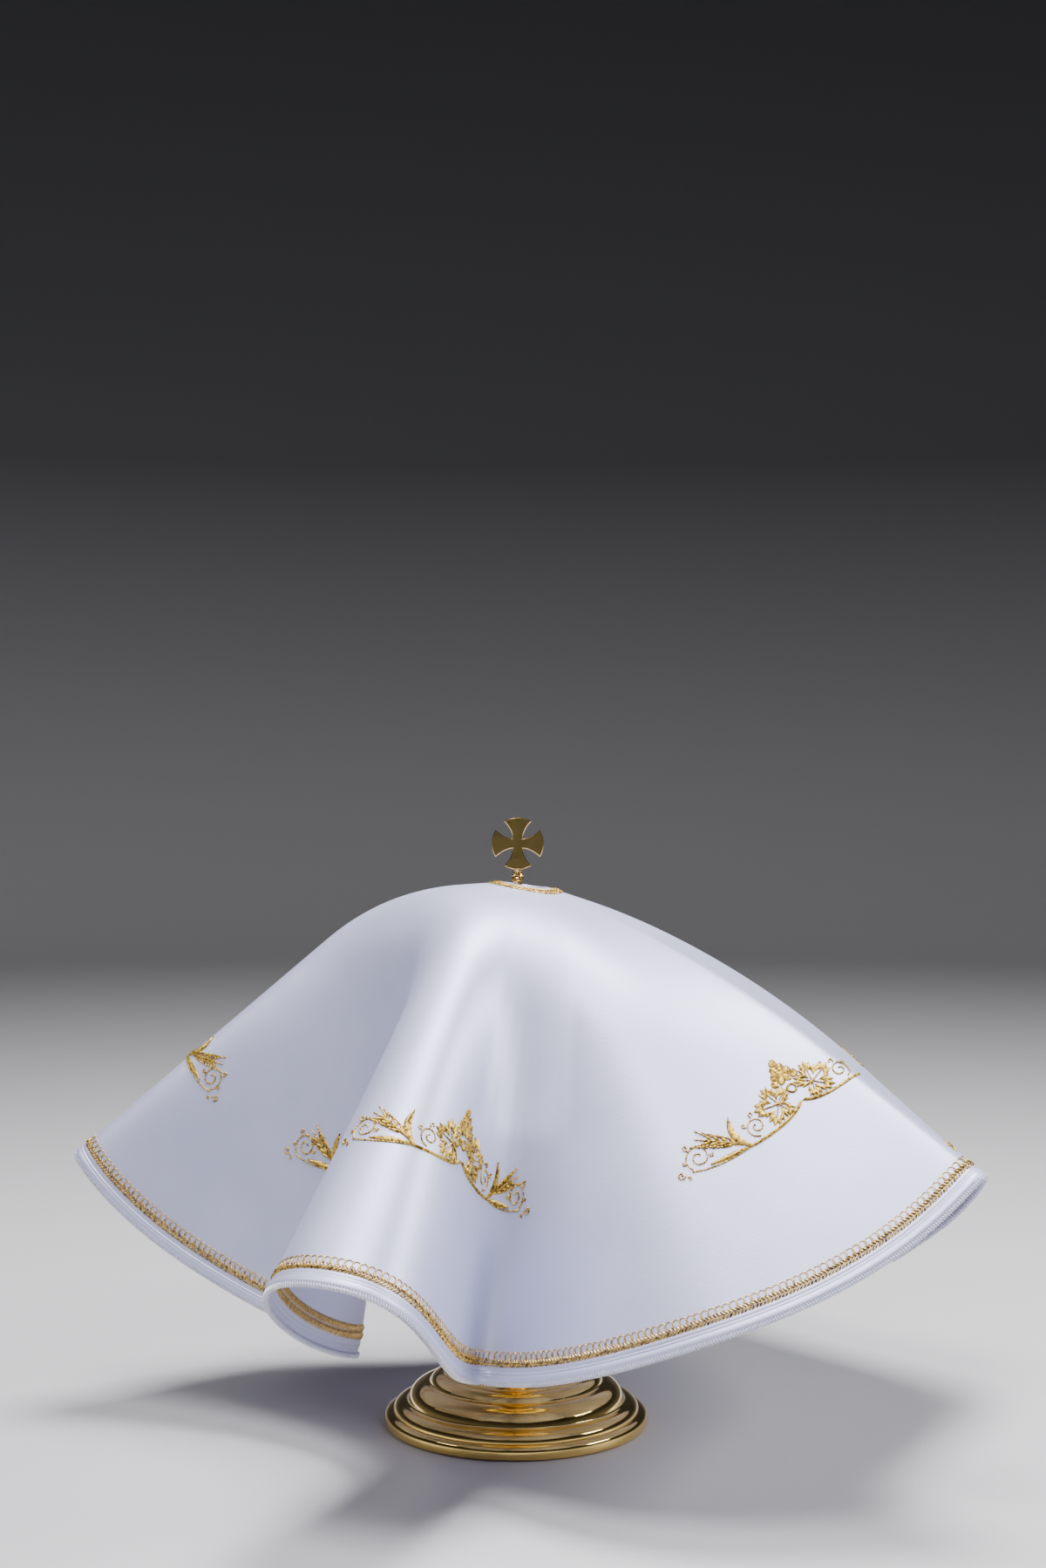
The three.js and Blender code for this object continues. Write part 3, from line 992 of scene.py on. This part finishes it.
def ear_stitches():
    """A wheat ear: grains up the middle and both sides of its stalk, each with a long awn."""
    root = np.array([EAR["along"], EAR["inward"]])
    tip = np.array([EAR["end_along"], EAR["end_inward"]])
    stalk = unit(tip - root)
    square = square_to(stalk)
    runs = satin_band(np.linspace(root, tip, 20), [STALK_WIDTH, STALK_WIDTH], slant=1.2)
    widths = GRAIN_WIDTH * np.sin(np.linspace(GRAIN_BLUNTNESS, math.pi, 12))
    for grain in range(GRAINS):
        share = grain / (GRAINS - 1)
        side = (0, 1, -1)[grain % 3]
        seat = root + (tip - root) * (BARE_STALK + (1 - BARE_STALK) * share)
        start = seat + side * square * STALK_WIDTH
        lean = side * math.radians(GRAIN_SPREAD)
        end = start + (stalk * math.cos(lean) + square * math.sin(lean)) * GRAIN_LENGTH
        runs += satin_band(np.linspace(start, end, 8), widths, slant=1.4, pitch=0.3)
        fan = math.radians(AWN_SPREAD) * side * (LOWEST_AWN + (1 - LOWEST_AWN) * share)
        awn = stalk * math.cos(fan) + square * math.sin(fan)
        runs += running_stitches(np.linspace(end, end + awn * AWN_LENGTH, 6), 1.7)
    return runs


def leaf_edge(turn):
    """How far the leaf's edge lies from its middle at a turn in degrees from its heading."""
    return LEAF["radius"] * max(
        lobe["reach"] * (1 - LOBE_CUT * ((turn - lobe["turn"]) / LOBE_HALF) ** 2) for lobe in LOBES
    )


def leaf_stitches():
    """A vine leaf: stitches across the edge of its lobes, longer at the teeth, and veins."""
    heading = math.radians(LEAF["heading"])
    middle = np.array([LEAF["along"], LEAF["inward"]])
    runs = []
    for stitch in range(LEAF_STITCHES):
        turn = stitch / LEAF_STITCHES * 360 - 180
        far = leaf_edge(turn)
        tooth = TOOTH * abs(stitch % TOOTH_STITCHES * 2 / TOOTH_STITCHES - 1)
        out = heading_at(math.radians(turn) + heading)
        side = square_to(out) * STITCH_TILT
        start = middle + out * (far - LEAF["edge"]) - side
        end = middle + out * (far + tooth) + side
        runs.append(np.stack([start, (start + end) / 2, end]))
    for lobe in LOBES:
        out = heading_at(math.radians(lobe["turn"]) + heading)
        tip = LEAF["radius"] * lobe["reach"] * VEIN_END
        runs += running_stitches(middle + out * np.linspace(VEIN_START, tip, 8)[:, None], 1.3)
    return runs


def grape_stitches():
    """A bunch of grapes, each a round spot of satin stitches, and the open ring at its stalk."""
    runs = []
    for row in range(GRAPE_ROWS):
        for place_in_row in range(row + 1):
            along = (place_in_row - row / 2) * GRAPE_SPACING
            middle = np.array([along, GRAPE_TIP - row * GRAPE_ROW_SPACING])
            side = 1 if (row + place_in_row) % 2 else -1
            thread = heading_at(math.radians(side * GRAPE_LEAN))
            square = square_to(thread)
            for offset in np.linspace(-GRAPE_SPAN, GRAPE_SPAN, GRAPE_THREADS):
                half = GRAPE_RADIUS * math.sqrt(1 - offset ** 2)
                start = middle + square * offset * GRAPE_RADIUS
                runs.append(np.stack([start - thread * half, start, start + thread * half]))
    turn = np.linspace(0, math.tau, 61)
    ring_path = RING_RADIUS * np.stack([np.cos(turn), np.sin(turn)], axis=-1) + (0, RING_INWARD)
    return runs + satin_band(ring_path, [RING_WIDTH, RING_WIDTH], slant=0.3)


def scroll_stitches():
    """The scrolls and curls: fine running stitches along spirals."""
    runs = []
    for row in SCROLLS:
        share = np.linspace(0, 1, SCROLL_POINTS)
        turn = math.radians(row["start"]) + share * row["turns"] * math.tau
        far = row["radius"] * (1 - SCROLL_TIGHTENING * share)
        spiral = np.stack([np.cos(turn), np.sin(turn)], axis=-1) * far[:, None]
        runs += running_stitches(spiral + (row["along"], row["inward"]), 1.1)
    return runs + running_stitches(smooth_path(BASELINE), 1.4)


def sewn(runs, axis, lift):
    """Puts stitches of one motif on the cloth, round its axis."""
    runs = np.array(runs) * MM
    radial = MOTIF_REACH - runs[..., 1]
    reach = np.hypot(radial, runs[..., 0])
    angle = axis + np.arctan2(runs[..., 0], radial)
    return list(cloth(reach, angle, np.broadcast_to(lift, reach.shape)))


def mirrored(runs):
    """The stitches of one side, and the same on the other side."""
    runs = np.array(runs)
    return list(runs) + list(runs * (-1, 1))


thick_side = satin_band(smooth_path(STEM), STEM_WIDTHS, slant=1.3)
thick_side += ear_stitches() + leaf_stitches()
for row in BLADES:
    thick_side += blade_stitches(row)
thick_runs = mirrored(thick_side) + grape_stitches()
fine_runs = mirrored(scroll_stitches())
# The second colour is painted shade for the gaps between the stitches.
motif_gold = gold_thread("gold_thread_motif", (0.74, 0.5, 0.1), (0.2, 0.11, 0.015))
for row in AXES:
    axis = math.radians(row["axis"])
    thick_name = f"motif_{row['name']}_satin_stitch"
    thick_mesh = thread_mesh(thick_name, sewn(thick_runs, axis, MOTIF_LIFT), MOTIF_THREAD)
    add_piece(thick_name, thick_mesh, motif_gold)
    fine_name = f"motif_{row['name']}_scrolls"
    fine_mesh = thread_mesh(fine_name, sewn(fine_runs, axis, SCROLL_LIFT), SCROLL_THREAD)
    add_piece(fine_name, fine_mesh, motif_gold)

# Floor and backdrop: one seamless sweep, curved up all round, far from the object, pale at the floor and
# painted darker with height as painted shade of a dark room
SWEEP_FLAT = 2.4
SWEEP_RADIUS = 3.4
SWEEP_HEIGHT = 3.2
SWEEP_STEPS = 16
sweep_outline = [(0, 0), (SWEEP_FLAT, 0)]
curve_to(sweep_outline, (SWEEP_RADIUS, 0), (SWEEP_RADIUS, SWEEP_RADIUS - SWEEP_FLAT), SWEEP_STEPS)
sweep_outline.append((SWEEP_RADIUS, SWEEP_HEIGHT))
floor_mesh = turned("floor", sweep_outline, steps=96)
floor_material, nodes, links, shader = new_material("pale_floor_painted_dark_walls")
shader.inputs["Roughness"].default_value = 0.55
place = nodes.new("ShaderNodeTexCoord")
height = nodes.new("ShaderNodeSeparateXYZ")
links.new(place.outputs["Object"], height.inputs["Vector"])
# The colour fades from pale at the floor to near black up the walls: painted shade of an unlit room.
tint = nodes.new("ShaderNodeValToRGB")
tint.color_ramp.elements[0].position = 0.02
tint.color_ramp.elements[0].color = (0.62, 0.62, 0.63, 1)
tint.color_ramp.elements[1].position = 0.9
tint.color_ramp.elements[1].color = (0.1, 0.1, 0.11, 1)
links.new(height.outputs["Z"], tint.inputs["Fac"])
links.new(tint.outputs["Color"], shader.inputs["Base Color"])
floor_mesh.materials.append(floor_material)
floor = bpy.data.objects.new("floor", floor_mesh)
scene.collection.objects.link(floor)

# Light: soft boxes at the left, the right, the front and overhead, in a dark room
LIGHT_AIM = np.array([0, 0, 0.12])
LIGHTS = [
    dict(name="left", x=-0.9, y=-0.3, z=1.1, across=0.45, power=5, colour=(1, 0.99, 1)),
    dict(name="right", x=1.15, y=-0.2, z=0.85, across=0.5, power=18, colour=(0.98, 0.98, 1)),
    dict(name="front", x=-0.2, y=-0.6, z=1.4, across=0.5, power=17, colour=(0.98, 0.97, 1)),
    dict(name="overhead", x=0.12, y=0.1, z=1.3, across=0.5, power=27, colour=(0.98, 0.97, 1)),
]
for row in LIGHTS:
    light_data = bpy.data.lights.new(row["name"], "AREA")
    light_data.shape = "SQUARE"
    light_data.size = row["across"]
    light_data.energy = row["power"]
    light_data.color = row["colour"]
    light = bpy.data.objects.new(row["name"], light_data)
    light.location = (row["x"], row["y"], row["z"])
    aim = LIGHT_AIM - np.array([row["x"], row["y"], row["z"]])
    light.rotation_euler = (
        math.atan2(math.hypot(aim[0], aim[1]), -aim[2]),
        0,
        math.atan2(-aim[0], aim[1]),
    )
    scene.collection.objects.link(light)

world = bpy.data.worlds.new("dark_room")
world.use_nodes = True
world.node_tree.nodes["Background"].inputs["Color"].default_value = (0.01, 0.01, 0.012, 1)
scene.world = world
